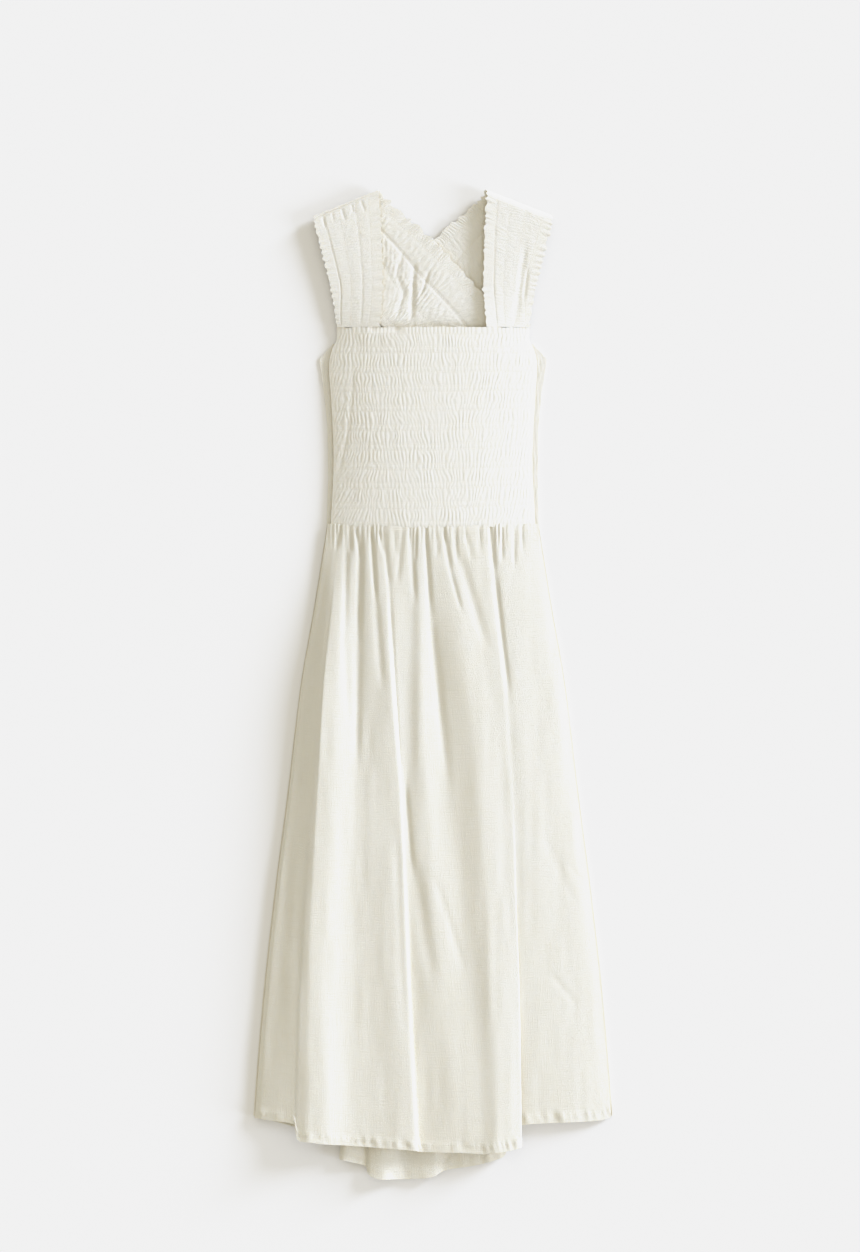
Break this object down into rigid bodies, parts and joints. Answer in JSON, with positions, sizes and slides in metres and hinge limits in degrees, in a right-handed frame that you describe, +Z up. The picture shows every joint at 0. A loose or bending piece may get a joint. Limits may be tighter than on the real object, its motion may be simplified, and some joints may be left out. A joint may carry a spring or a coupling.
{
  "type": "smocked dress",
  "caption": "Long sleeveless dress laid flat on its back: smocked bodice, frill-edged smocked straps that cross at the back, and a gathered flared skirt with a longer back hem.",
  "frame": {"origin": "centre of the laid-out dress's footprint, on the surface that it lies on", "axes": "+X across the dress, to the right of a viewer looking down on its front; +Y along the dress towards its shoulders; +Z up off the surface, out of the dress's front"},
  "size_m": [0.4594, 1.2661, 0.0211],
  "materials": {
    "smocked_cotton": "matte woven cotton, gathered on rows of elastic thread",
    "plain_cotton": "matte woven cotton"
  },
  "bodies": {
    "root": {"bodice_front": "smocked_cotton", "bodice_back": "smocked_cotton", "skirt_front": "plain_cotton", "skirt_back": "plain_cotton", "strap_left": "smocked_cotton", "strap_right": "smocked_cotton"}
  },
  "joints": []
}
